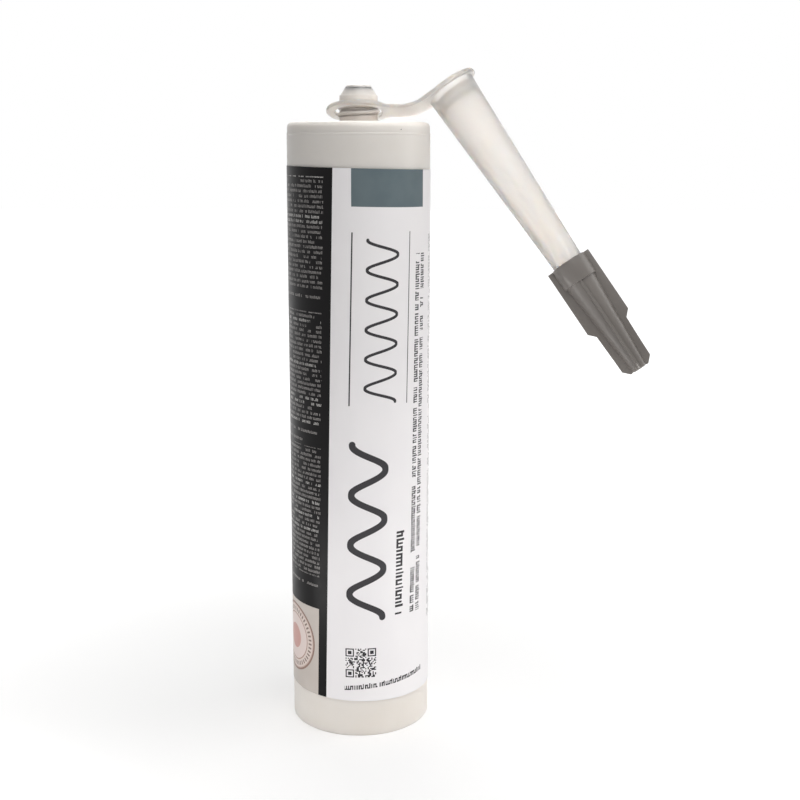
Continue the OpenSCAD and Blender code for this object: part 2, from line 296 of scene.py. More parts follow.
class Sock:
    """A node's output that can be written in sums."""

    def __init__(self, tree, value):
        self.tree = tree
        self.value = value

    def op(self, name, *others):
        node = self.tree.nodes.new("ShaderNodeMath")
        node.operation = name
        for socket, value in zip(node.inputs, (self,) + others):
            plug(self.tree, socket, value)
        return Sock(self.tree, node.outputs[0])

    def __add__(self, other):
        return self.op("ADD", other)

    def __sub__(self, other):
        return self.op("SUBTRACT", other)

    def __mul__(self, other):
        return self.op("MULTIPLY", other)

    def __truediv__(self, other):
        return self.op("DIVIDE", other)

    def __lt__(self, other):
        return self.op("LESS_THAN", other)

    def __gt__(self, other):
        return self.op("GREATER_THAN", other)

    def max(self, other):
        return self.op("MAXIMUM", other)

    def min(self, other):
        return self.op("MINIMUM", other)

    def floor(self):
        return self.op("FLOOR")

    def fract(self):
        return self.op("FRACT")

    def abs(self):
        return self.op("ABSOLUTE")

    def within(self, low, high):
        """1 between two values and 0 outside them."""
        return (self > low) * (self < high)

    def soft(self, low, high):
        """A smooth step from 0 to 1 between two values."""
        node = self.tree.nodes.new("ShaderNodeMapRange")
        node.interpolation_type = "SMOOTHSTEP"
        for socket, value in zip(node.inputs, (self, low, high)):
            plug(self.tree, socket, value)
        return Sock(self.tree, node.outputs[0])


class Paint:
    """A material with a Principled shader, and short ways to make its patterns."""

    def __init__(self, name, color, rough):
        self.mat = bpy.data.materials.new(name)
        self.mat.use_nodes = True
        self.tree = self.mat.node_tree
        self.bsdf = self.tree.nodes["Principled BSDF"]
        self.coord = self.tree.nodes.new("ShaderNodeTexCoord").outputs["Object"]
        self.set("Base Color", color)
        self.set("Roughness", rough)

    def set(self, name, value):
        plug(self.tree, self.bsdf.inputs[name], value)

    def xyz(self):
        """Place on the object, in metres."""
        node = self.tree.nodes.new("ShaderNodeSeparateXYZ")
        plug(self.tree, node.inputs[0], self.coord)
        return [Sock(self.tree, output) for output in node.outputs]

    def join(self, *parts):
        node = self.tree.nodes.new("ShaderNodeCombineXYZ")
        for socket, part in zip(node.inputs, parts):
            plug(self.tree, socket, part)
        return node.outputs[0]

    def noise(self, scale, detail=2, at=None):
        node = self.tree.nodes.new("ShaderNodeTexNoise")
        plug(self.tree, node.inputs["Scale"], scale)
        plug(self.tree, node.inputs["Detail"], detail)
        plug(self.tree, node.inputs["Vector"], self.coord if at is None else at)
        return Sock(self.tree, node.outputs["Fac"])

    def cells(self, *parts):
        """A random value from 0 to 1 for each set of whole numbers."""
        node = self.tree.nodes.new("ShaderNodeTexWhiteNoise")
        plug(self.tree, node.inputs["Vector"], self.join(*parts))
        return Sock(self.tree, node.outputs["Value"])

    def mix(self, share, a, b):
        node = self.tree.nodes.new("ShaderNodeMix")
        node.data_type = "RGBA"
        plug(self.tree, node.inputs[0], share)
        plug(self.tree, node.inputs[6], a)
        plug(self.tree, node.inputs[7], b)
        return node.outputs[2]

    def clouded(self, scale, detail, a, b):
        """Soft clouds of two colours."""
        return self.mix(self.noise(scale, detail).soft(0.3, 0.7), a, b)

    def bump(self, height, depth):
        """A relief with a depth in metres."""
        node = self.tree.nodes.new("ShaderNodeBump")
        plug(self.tree, node.inputs["Strength"], BUMP_STRENGTH)
        plug(self.tree, node.inputs["Distance"], depth)
        plug(self.tree, node.inputs["Height"], height)
        self.set("Normal", node.outputs[0])

    def on(self, obj):
        obj.data.materials.clear()
        obj.data.materials.append(self.mat)
        return obj


# Plastics: how fine their clouds, gloss and grain are, and how deep the grain is in metres
CLOUD_SCALE = 38
GLOSS_SCALE = 90
GLOSS_SPREAD = 0.1
GRAIN_SCALE = 1040
GRAIN_DEPTH = 0.00006
BUMP_STRENGTH = 0.35
THIN_GLOW = (0.002, 0.002, 0.002)         # how far light travels inside, in metres for red, green and blue
BARREL_GLOW = (0.005, 0.005, 0.005)
NOZZLE_GLOW = (0.004, 0.0034, 0.0028)


def plastic(name, light, dark, rough, inner=0.0, glow=THIN_GLOW, clear=0.0):
    """Moulded plastic: faint clouding, fine grain and uneven gloss, with light inside it where it is pale."""
    p = Paint(name, light, rough)
    cloud = p.noise(CLOUD_SCALE, 3).soft(0.35, 0.7)
    gloss = p.noise(GLOSS_SCALE).soft(0.3, 0.7)
    p.set("Base Color", p.mix(cloud, light, dark))
    p.set("Roughness", gloss * GLOSS_SPREAD + (rough - GLOSS_SPREAD / 2))
    p.bump(p.noise(GRAIN_SCALE), GRAIN_DEPTH)
    p.set("Transmission Weight", clear)
    p.set("Subsurface Weight", inner)
    p.set("Subsurface Radius", glow)
    p.set("Subsurface Scale", 1.0)
    return p


BARREL_MAT = plastic("barrel_plastic", (0.875, 0.79, 0.72), (0.845, 0.76, 0.685), 0.42, 1.0, BARREL_GLOW)
NOZZLE_MAT = plastic("nozzle_plastic", (0.97, 0.94, 0.91), (0.955, 0.92, 0.885), 0.5, 1.0, NOZZLE_GLOW, 0.8)
CAP_MAT = plastic("cap_plastic", (0.165, 0.15, 0.138), (0.15, 0.135, 0.123), 0.36)
PISTON_MAT = plastic("piston_plastic", (0.86, 0.85, 0.82), (0.82, 0.81, 0.78), 0.45, 0.2)
PASTE_MAT = plastic("paste", (0.52, 0.51, 0.49), (0.46, 0.45, 0.43), 0.3)
SPECK_MAT = Paint("speck", (0.09, 0.07, 0.06), 0.7)

# Label colours
INK = (0.045, 0.043, 0.047)
PALE_INK = (0.07, 0.068, 0.072)
SIDE_INK = (0.12, 0.118, 0.125)
BADGE_INK = (0.24, 0.18, 0.16)
FILM = (0.80, 0.785, 0.80)
FILM_CLOUDS = ((0.775, 0.76, 0.775), (0.80, 0.785, 0.795))
TAUPE_CLOUDS = ((0.50, 0.455, 0.42), (0.56, 0.515, 0.48))
BOX_CLOUDS = ((0.115, 0.15, 0.165), (0.13, 0.165, 0.18))
BLACK = (0.006, 0.0055, 0.006)
DULL_MARKS = (0.23, 0.22, 0.215)
BOLD_MARKS = (0.42, 0.41, 0.40)

# Black panel: its edge leans by some degrees round the barrel for each millimetre of height
SEAM_LOW = 13.6
SEAM_AT = -27.6
SEAM_LEAN = 0.0494
BLACK_TURN = 128
LINE_START = 3.2
LINE_SPREAD = 0.5
LINE_END = 50
BOLD_FROM = 0.86           # lines picked above this are bold
# Its blocks, last lines and headings: lowest and highest height, and how far from the edge they begin
BLOCKS = [
    (159.1, 196.8, 0.0),
    (112.2, 151.6, 0.0),
    (57.8, 104.5, 0.0),
    (155.8, 157.45, 4.0),
    (108.9, 110.5, 5.0),
    (53.6, 55.25, 0.0),
    (105.5, 107.2, 11.5),
]

# Taupe panel, in degrees from the black panel's edge, and its badge of round fields, widest first
TAUPE_FROM = 8
TAUPE_TO = 76
TAUPE_HIGH = 46
BADGE_TURN = -68
BADGE_Z = 32.2
BADGE_TICKS = 44
TICK_IN = 9.6
TICK_OUT = 11.1
TICK_SHARE = 0.45
BADGE_FIELDS = [
    (12.7, (0.27, 0.18, 0.15)),
    (12.0, (0.52, 0.41, 0.37)),
    (11.6, (0.66, 0.57, 0.53)),
    (8.9, (0.40, 0.26, 0.22)),
    (8.5, (0.70, 0.60, 0.57)),
    (4.6, (0.56, 0.33, 0.30)),
]

# Grey box in degrees from the front, and two thin upright lines: place across and half a thickness
BOX_FROM = -4.0
BOX_TO = 62.3
BOX_LOW = 187.4
LINES_LOW = 120.5
LINES_HIGH = 179
LINES = [(-3.15, 0.24), (18.05, 0.17)]

# Small marks in place of print: shares of a stroke's pitch, of a row's height, or of the strokes
ROW_SHIFT = 0.37           # how far each row's strokes are shifted
STROKE_THIN = 0.4
STROKE_SPREAD = 0.3
TALL_FROM = 0.8            # strokes picked above this are tall
TALL_RISE = 0.12
BAR_UP_TO = 0.6            # strokes picked below this have a bar across
BAR_REACH = 0.35
BAR_HALF = 0.16
WORD_SCALE = 0.2
WORD_SHIFT = 7.31
PANEL_MARKS = dict(pitch=1.675, height=0.5, stroke=0.5, seed=3.0)
BIG_MARKS = dict(pitch=4.6, height=0.6, stroke=1.35, seed=11.0, gaps=0.05, cut=0.1)
SMALL_MARKS = dict(pitch=3.1, height=0.66, stroke=0.8, seed=23.0, gaps=0.06, cut=0.34)
FOOT_MARKS = dict(pitch=2.9, height=0.55, stroke=0.75, seed=31.0, gaps=0.04, cut=0.15)
SIDE_MARKS = dict(pitch=1.7, height=0.5, stroke=0.5, seed=57.0)
# Upright columns of them: from and to across, lowest and highest height, form, ink
COLUMNS = [
    (13.9, 18.5, 44, 77.5, BIG_MARKS, INK),
    (20.9, 27.1, 43.8, 171.4, SMALL_MARKS, PALE_INK),
]
# The line along the foot climbs by a share of its length round the barrel
FOOT_LOW = 17.2
FOOT_CLIMB = 0.1
FOOT_FROM = -5.0
FOOT_TO = 27.0
# The rows far round on the right side, some of them left out
SIDE_FROM = 32.3
SIDE_TO = 57.8
SIDE_LOW = 38
SIDE_HIGH = 178
SIDE_GAPS = 0.12

# Wavy beads: middle and swing in degrees, lowest and highest height, waves, half a thickness
BEADS = [
    (9.3, 13.5, 44.5, 107, 3.5, 1.15),
    (17.4, 12.5, 121.5, 176.5, 5.5, 0.5),
]

# Square of modules, with the middles of its three corner squares in modules
MODULE = 0.435
MODULES = 25
SQUARE_X = -4.6
SQUARE_Z = 22.4
FINDERS = [(3.5, 3.5), (3.5, 21.5), (21.5, 21.5)]

FILM_ROUGH = 0.3
FILM_SPREAD = 0.08
FILM_SHINE = 0.1
FILM_RELIEF = 0.00005

PER_DEG = math.pi * BASE_R / 180          # millimetres round the barrel for each degree


class Print(Paint):
    """The label's print: fields of colour put on one after another, at places in millimetres."""

    def __init__(self):
        super().__init__("label_print", FILM, FILM_ROUGH)
        x, y, z = self.xyz()
        slant = math.tan(LABEL_TILT)
        self.turn = x.op("ARCTAN2", y * -1.0) * (180 / math.pi)     # degrees to the right of the front
        self.h = z * (1 / MM)
        self.up = (z + x * slant) * (1 / MM)                        # height along the label's own slant
        self.around = self.turn * PER_DEG
        self.across = self.around - (self.h - (LABEL_LOW + LABEL_HIGH) / 2) * slant
        self.color = self.clouded(30, 2, *FILM_CLOUDS)

    def put(self, mask, color):
        self.color = self.mix(mask, self.color, color)

    def marks(self, u, v, pitch, height, stroke, seed, gaps=0.15, cut=0.38):
        """Rows of upright strokes in place of small print: u runs along a row and v across the rows.

        The height is a share of the pitch. Gaps is the share of strokes left out, and cut parts the words.
        """
        row = (v / pitch).floor()
        level = (v / pitch).fract()
        cell = u / stroke + row * ROW_SHIFT
        at = cell.floor()
        pick = self.cells(at, row, seed)
        other = self.cells(at, row, seed + 40)
        tall = (pick > TALL_FROM) * TALL_RISE
        body = (level > 0.5 - height / 2) * (level - tall < 0.5 + height / 2)
        word = self.noise(WORD_SCALE / stroke, 0, self.join(u, row * WORD_SHIFT + seed, seed)) > cut
        upright = cell.fract() < other * STROKE_SPREAD + STROKE_THIN
        bar_at = (other > 0.5) * (2 * height * BAR_REACH) + (0.5 - height * BAR_REACH)
        bar = ((level - bar_at).abs() < height * BAR_HALF) * (pick < BAR_UP_TO)
        return body * word * (pick > gaps) * (upright + bar).min(1.0)

    def black_panel(self):
        """Black panel with rows of small marks. Returns the degrees from its edge to the left."""
        left = (self.h - SEAM_LOW) * SEAM_LEAN + SEAM_AT - self.turn
        black = left.within(0, BLACK_TURN)
        self.put(black, BLACK)
        inward = left * PER_DEG
        line = (self.up / PANEL_MARKS["pitch"]).floor()
        rows = [self.up.within(low, high) * (inward > begin) for low, high, begin in BLOCKS]
        bold = self.cells(line, 9.0, 2.0) > BOLD_FROM
        start = self.cells(line, 4.0, 1.0) * LINE_SPREAD + LINE_START
        marks = self.marks(inward, self.up, **PANEL_MARKS)
        marks = marks * sum(rows[1:], rows[0]).min(1.0) * (inward > start) * (inward < LINE_END)
        self.put(marks * black, self.mix(bold, DULL_MARKS, BOLD_MARKS))
        return left

    def taupe_panel(self, left):
        """Taupe panel below the black one, with a plain round badge."""
        taupe = left.within(TAUPE_FROM, TAUPE_TO) * (self.up < TAUPE_HIGH)
        self.put(taupe, self.clouded(60, 3, *TAUPE_CLOUDS))
        du = (self.turn - BADGE_TURN) * PER_DEG
        dv = self.h - BADGE_Z
        away = (du * du + dv * dv).op("SQRT")
        ticks = (du.op("ARCTAN2", dv) * (BADGE_TICKS / (2 * math.pi))).fract() < TICK_SHARE
        for radius, color in BADGE_FIELDS:
            self.put(taupe * (away < radius), color)
        self.put(taupe * away.within(TICK_IN, TICK_OUT) * ticks, BADGE_INK)

    def box_and_lines(self):
        box = self.turn.within(BOX_FROM, BOX_TO) * (self.up > BOX_LOW)
        self.put(box, self.clouded(120, 2, *BOX_CLOUDS))
        for place, half in LINES:
            line = self.h.within(LINES_LOW, LINES_HIGH) * ((self.across - place).abs() < half)
            self.put(line, INK)

    def bead(self, middle, swing, low, high, waves, half):
        """A wavy bead with round ends, in place of large words."""
        pull = 2 * math.pi * waves / (high - low)
        phase = (self.h - low) * pull
        off = self.across - (phase.op("COSINE") * swing + middle) * PER_DEG
        slope = phase.op("SINE") * (swing * PER_DEG * pull)
        away = off / (slope * slope + 1).op("SQRT")
        bead = (away.abs() < half) * self.h.within(low, high)
        for end, side in ((low, 1), (high, math.cos(2 * math.pi * waves))):
            du = self.across - (middle + swing * side) * PER_DEG
            dv = self.h - end
            bead = bead + (du * du + dv * dv < half * half)
        self.put(bead.min(1.0), INK)

    def columns(self):
        """Rows of small marks beside the beads, along the foot and round on the right side."""
        for start, end, low, high, form, ink in COLUMNS:
            marks = self.marks(self.h, self.across - start, **form)
            self.put(marks * self.across.within(start, end) * self.h.within(low, high), ink)
        above = self.up - self.around * FOOT_CLIMB - FOOT_LOW
        foot = self.marks(self.around, above, **FOOT_MARKS) * above.within(0, FOOT_MARKS["pitch"])
        self.put(foot * self.around.within(FOOT_FROM, FOOT_TO), INK)
        side = self.marks(self.h, self.around, **SIDE_MARKS)
        kept = self.cells((self.around / SIDE_MARKS["pitch"]).floor(), 8.0, 3.0) > SIDE_GAPS
        place = self.around.within(SIDE_FROM, SIDE_TO) * self.h.within(SIDE_LOW, SIDE_HIGH)
        self.put(side * kept * place, SIDE_INK)

    def square(self):
        """A square of modules that encodes nothing."""
        right = (self.around - SQUARE_X) / MODULE
        high = (self.h - SQUARE_Z) / MODULE
        inside = right.within(0, MODULES) * high.within(0, MODULES)
        module = self.cells(right.floor(), high.floor(), 5.0) > 0.5
        for x, z in FINDERS:
            away = (right - x).abs().max((high - z).abs())
            module = module * (away > 4.5) + away.within(2.5, 3.5) + (away < 1.5)
        self.put(inside * module, INK)


def label_material():
    p = Print()
    left = p.black_panel()
    p.taupe_panel(left)
    p.box_and_lines()
    for bead in BEADS:
        p.bead(*bead)
    p.columns()
    p.square()
    p.set("Base Color", p.color)
    p.set("Roughness", p.noise(140).soft(0.3, 0.7) * FILM_SPREAD + FILM_ROUGH)
    p.set("Specular IOR Level", FILM_SHINE)
    p.bump(p.noise(420) * 0.6 + p.noise(35), FILM_RELIEF)
    return p


# Barrel. Small roundings are steps of radius and height from the corner that they replace
FINE = 256                 # sides of the largest round shapes
BORE_BREAK = [(0, 0.15), (0.15, 0)]
WALL_HEIGHTS = (1.2, 13, 60, 107, 154, 200, LEDGE_Z - 0.9)
LEDGE_ROLL = [(-0.05, -0.6), (0.02, -0.42), (0.06, -0.2), (0, 0)]
HEAD_FOOT = [(0.04, 0.08), (0, 0.22)]
NECK_ROOT = [(0.5, 0), (0.12, 0.12), (0, 0.5)]
NECK_BREAK = [(0, -0.2), (-0.06, -0.05)]
TIP_FOOT = [(0, 0), (-0.12, 0.15)]
TIP_BREAK = [(0.35, -0.45), (0.08, -0.1), (-0.3, 0.02)]
DIRT_TURN = math.radians(36.6)
DIRT_Z = 212.3
DIRT_R = 0.17


def build_barrel():
    ledge_r = outer_r(LEDGE_Z)
    head_r = ledge_r - HEAD_STEP
    neck_top = BARREL_H + NECK_H
    tip_top = neck_top + TIP_H
    shoulder = BARREL_H - SHOULDER_T

    outside = corner(BORE_R, 0, BORE_BREAK)
    outside += arc(outer_r(0) - RIM_ROUND, RIM_ROUND, RIM_ROUND, -QUARTER, 0, 6)
    outside += [(outer_r(z), z) for z in WALL_HEIGHTS]
    outside += corner(ledge_r, LEDGE_Z, LEDGE_ROLL)
    outside += corner(head_r, LEDGE_Z, HEAD_FOOT)
    outside += arc(head_r - HEAD_ROUND, BARREL_H - HEAD_ROUND, HEAD_ROUND, 0, QUARTER, 10)
    outside += corner(NECK_R, BARREL_H, NECK_ROOT)
    outside += corner(NECK_R, neck_top, NECK_BREAK)
    outside += corner(TIP_FOOT_R, neck_top, TIP_FOOT)
    outside += corner(TIP_TOP_R, tip_top, TIP_BREAK)
    outside += [(TIP_TOP_R / 2, tip_top + 0.75 * TIP_DOME), (0, tip_top + TIP_DOME)]

    inside = [(BORE_R, BORE_BREAK[0][1]), (BORE_R, 60), (BORE_R, 120), (BORE_R, shoulder)]
    inside += [(NECK_BORE_R, shoulder), (NECK_BORE_R, tip_top - MEMBRANE), (0, tip_top - MEMBRANE)]

    bm = bmesh.new()
    lathe(bm, outside, FINE)
    lathe(bm, inside, FINE)
    bmesh.ops.remove_doubles(bm, verts=bm.verts, dist=1e-4)
    thread(bm, NECK_R, CREST_R, NECK_TURNS, BARREL_H + THREAD_START)

    # A small speck of dirt on the head band
    speck = Vector((head_r * math.sin(DIRT_TURN), -head_r * math.cos(DIRT_TURN), DIRT_Z))
    made = bmesh.ops.create_icosphere(bm, subdivisions=2, radius=DIRT_R, matrix=Matrix.Translation(speck))
    speck_faces = {face for vert in made["verts"] for face in vert.link_faces}
    count = len(speck_faces)

    piece = new_piece("barrel_shell", bm, body="cartridge", smooth=32)
    BARREL_MAT.on(piece)
    piece.data.materials.append(SPECK_MAT.mat)
    for polygon in list(piece.data.polygons)[-count:]:
        polygon.material_index = 1
    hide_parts("barrel")


def build_label():
    """The wrap runs a little over one turn, and its end lies on its start."""
    n = FINE
    m = 24
    layers = []
    bm = bmesh.new()
    for thick in (0, LABEL_T):
        rows = []
        for j in range(m + 1):
            base = LABEL_LOW + (LABEL_HIGH - LABEL_LOW) * j / m
            row = []
            for i in range(n + 1):
                turn = WRAP_TURN * i / n
                lap = LAP_GAP * max(0.0, min(1.0, (turn - LAP_START) / LAP_RISE))
                a = math.radians(SEAM_TURN + turn)
                r = outer_r(base) + LABEL_GAP + lap + thick
                x = r * math.sin(a)
                row.append(bm.verts.new((x, -r * math.cos(a), base - x * math.tan(LABEL_TILT))))
            rows.append(row)
        layers.append(rows)
    for rows in layers:
        for low, high in zip(rows, rows[1:]):
            for i in range(n):
                bm.faces.new((low[i], low[i + 1], high[i + 1], high[i]))
    inner, outer = layers
    for row in (0, m):
        for i in range(n):
            bm.faces.new((inner[row][i], outer[row][i], outer[row][i + 1], inner[row][i + 1]))
    for end in (0, n):
        for j in range(m):
            bm.faces.new((inner[j][end], inner[j + 1][end], outer[j + 1][end], outer[j][end]))
    piece = new_piece("label_film", bm, body="cartridge", smooth=30)
    label_material().on(piece)
    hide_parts("label")


def build_paste():
    low = PISTON_Z + PISTON_H + PASTE_GAP
    top = BARREL_H - SHOULDER_T - PASTE_GAP
    r = BORE_R - PASTE_SIDE_GAP
    profile = [(0, low), (r / 2, low)] + corner(r, low, [(-PASTE_ROUND, 0), (0, PASTE_ROUND)])
    profile += [(r, (low + top) / 2)] + corner(r, top, [(0, -PASTE_ROUND), (-PASTE_ROUND, 0)]) + [(0, top)]
    bm = bmesh.new()
    lathe(bm, profile, 128)
    piece = new_piece("paste_body", bm, body="cartridge", smooth=30)
    PASTE_MAT.on(piece)
    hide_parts("sealant")
    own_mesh(piece)


def build_piston():
    piece = PISTON_MAT.on(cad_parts["piston"])
    shade(piece.data, 30)


# Ring, strap, flange, cone and spout: one moulding

def strap_outline(n=96):
    """The plan of the ring, the strap and the flange as one closed outline about the ring's middle."""
    half = STRAP_W / 2
    far = REACH + FLANGE_REACH
    fillet_y = half + FILLET
    fillet_x = math.sqrt((RING_R + FILLET) ** 2 - fillet_y ** 2)
    touch = math.atan2(fillet_y, fillet_x)
    turn = math.atan2(half, FLANGE_REACH) + math.acos(FLANGE_R / math.hypot(half, FLANGE_REACH))
    # The ring, from behind round to where the fillet meets it, and the fillet
    upper = arc(0, 0, RING_R, math.pi, touch, n)
    upper += arc(fillet_x, fillet_y, FILLET, math.pi + touch, 3 * QUARTER, 12)[1:]
    # The edge turns outward at the fold, in a short curve, and goes straight to the flange
    fold = Vector((REACH, half))
    meet = Vector((far - FLANGE_R * math.cos(turn), FLANGE_R * math.sin(turn)))
    before = fold - Vector((FOLD_CORNER, 0))
    after = fold + (meet - fold).normalized() * FOLD_CORNER
    for i in range(9):
        t = i / 8
        upper.append(tuple(before * (1 - t) ** 2 + fold * 2 * t * (1 - t) + after * t * t))
    upper += arc(far, 0, FLANGE_R, math.pi - turn, 0, n)
    lower = [(x, -y) for x, y in upper[-2:0:-1]]
    return (upper + lower)[::-1]


def circle(x, r, n=128):
    return arc(x, 0, r, 0, -4 * QUARTER, n)[:-1]


def plate(loops, cuts):
    """The strap's plate from its outline and its holes, with rounded edges, cut across where it will bend."""
    curve = bpy.data.curves.new("plan", "CURVE")
    curve.dimensions = "2D"
    curve.fill_mode = "BOTH"
    curve.extrude = STRAP_T / 2 - STRAP_EDGE
    curve.bevel_depth = STRAP_EDGE
    curve.bevel_resolution = 2
    curve.offset = -STRAP_EDGE
    for loop in loops:
        spline = curve.splines.new("POLY")
        spline.points.add(len(loop) - 1)
        for point, (x, y) in zip(spline.points, loop):
            point.co = (x, y, 0, 1)
        spline.use_cyclic_u = True
    plan = bpy.data.objects.new("plan", curve)
    bpy.context.scene.collection.objects.link(plan)
    mesh = bpy.data.meshes.new_from_object(plan.evaluated_get(bpy.context.evaluated_depsgraph_get()))
    bpy.data.objects.remove(plan)
    bm = bmesh.new()
    bm.from_mesh(mesh)
    bpy.data.meshes.remove(mesh)
    bmesh.ops.remove_doubles(bm, verts=bm.verts, dist=1e-4)
    for x in cuts:
        geom = bm.verts[:] + bm.edges[:] + bm.faces[:]
        bmesh.ops.bisect_plane(bm, geom=geom, plane_co=(x, 0, 0), plane_no=(1, 0, 0), dist=1e-5)
    return bm


def bend(p):
    """Bends a point of the flat plate round the fold, along an arc that meets both straight parts."""
    x, y, z = p
    past = x - REACH
    lift = z - STRAP_T / 2
    if past <= -BEND_RUN:
        return Vector(p)
    if past >= BEND_RUN:
        c = math.cos(FOLD)
        s = math.sin(FOLD)
        return Vector((REACH + past * c - lift * s, y, STRAP_T / 2 + past * s + lift * c))
    radius = BEND_RUN / math.tan(FOLD / 2)
    a = FOLD * (past + BEND_RUN) / (2 * BEND_RUN)
    r = radius - lift
    return Vector((REACH - BEND_RUN + r * math.sin(a), y, STRAP_T / 2 + radius - r * math.cos(a)))


def build_strap():
    cuts = [REACH + BEND_RUN * (2 * i / BEND_CUTS - 1) for i in range(BEND_CUTS + 1)]
    holes = [circle(0, HOLE_R), circle(REACH + FLANGE_REACH, SOCKET_R + PLATE_GAP)]
    bm = plate([strap_outline()] + holes, cuts)
    for vert in bm.verts:
        vert.co = bend(vert.co)
    return new_piece("plan_strap", bm, at=RING_AT, smooth=35)


FLANGE_BREAK = [(-0.35, 0), (-0.1, -0.1), (0, -0.35)]
CONE_HEIGHTS = (6, 16, 28, 40, 52, 64, 73, CONE_LEN - 0.3)
BORE_HEIGHTS = (20, 40, 60, 75)


def build_cone():
    top = FLANGE_T / 2
    end = -CONE_LEN - SPOUT_LEN
    outside = [(SOCKET_R + SOCKET_EDGE, top)]
    outside += corner(FLANGE_R, top, FLANGE_BREAK)
    outside += corner(FLANGE_R, -top, [(dr, -dz) for dr, dz in reversed(FLANGE_BREAK)])
    outside += corner(CONE_TOP, -top, [(0.45, 0), (0.12, -0.12)]) + [(cone_r(top + 0.45), -top - 0.45)]
    outside += [(cone_r(s), -s) for s in CONE_HEIGHTS]
    outside += corner(CONE_LOW, -CONE_LEN, [(-0.08, 0.08), (-0.3, 0)])
    outside += corner(SPOUT_TOP, -CONE_LEN, [(0, 0), (-0.02, -0.3)])
    outside += corner(SPOUT_END, end, [(0.02, 0.3), (-0.25, 0)]) + [(SPOUT_HOLE_R, end)]

    inside = corner(SOCKET_R, top, [(SOCKET_EDGE, 0), (0, -SOCKET_EDGE)])
    inside += [(SOCKET_R, 0.1 - SOCKET_H), (cone_r(SOCKET_H) - CONE_WALL, -SOCKET_H - 1)]
    inside += [(cone_r(s) - CONE_WALL, -s) for s in BORE_HEIGHTS]
    inside += [(CONE_LOW - CONE_WALL, CONE_WALL - CONE_LEN), (SPOUT_TOP - CONE_WALL, -CONE_LEN)]
    inside += [(SPOUT_HOLE_R, end + SPOUT_TIP), (SPOUT_HOLE_R, end)]

    bm = bmesh.new()
    lathe(bm, outside, 160)
    lathe(bm, inside, 160)
    bmesh.ops.remove_doubles(bm, verts=bm.verts, dist=1e-4)
    thread(bm, SOCKET_R, NECK_R + THREAD_GAP, SOCKET_TURNS, PITCH / 2 - SOCKET_H)
    return new_piece("cone_part", bm, at=NOZZLE_AT, smooth=35)


def build_moulding():
    piece = build_strap()
    parts = [piece, build_cone()]
    piece.select_set(True)
    with bpy.context.temp_override(active_object=piece, object=piece, selected_objects=parts,
                                   selected_editable_objects=parts):
        bpy.ops.object.join()
    piece.name = "nozzle_moulding"
    piece.data.name = "nozzle_moulding"
    NOZZLE_MAT.on(piece)
    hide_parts("retaining_ring", "nozzle")
    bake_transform(piece)


# Cap

CAP_MOUTH = [(0.35, 0), (0.08, -0.12), (0, -0.35)]
COLLAR_TOP = [(-0.12, 0), (-0.03, -0.05), (0, -0.2)]
COLLAR_FOOT = [(-0.2, 0.2), (-0.24, 0.06), (-0.36, 0)]
BODY_TOP = [(0.2, 0), (0.04, -0.06), (0, -0.25)]


def fin(bm, outline, turn, edge, segments):
    """A flat fin in the plane through the axis, turned about the axis, with softened edges."""
    part = bmesh.new()
    sides = [[part.verts.new((x, y, z)) for x, z in outline] for y in (FIN_T / 2, -FIN_T / 2)]
    part.faces.new(sides[0][::-1])
    part.faces.new(sides[1])
    n = len(outline)
    for i in range(n):
        j = (i + 1) % n
        part.faces.new((sides[0][i], sides[0][j], sides[1][j], sides[1][i]))
    bmesh.ops.bevel(part, geom=part.edges[:], offset=edge, segments=segments, affect="EDGES", profile=0.6)
    part.transform(Matrix.Rotation(turn, 4, "Z"))
    mesh = bpy.data.meshes.new("fin")
    part.to_mesh(mesh)
    part.free()
    bm.from_mesh(mesh)
    bpy.data.meshes.remove(mesh)


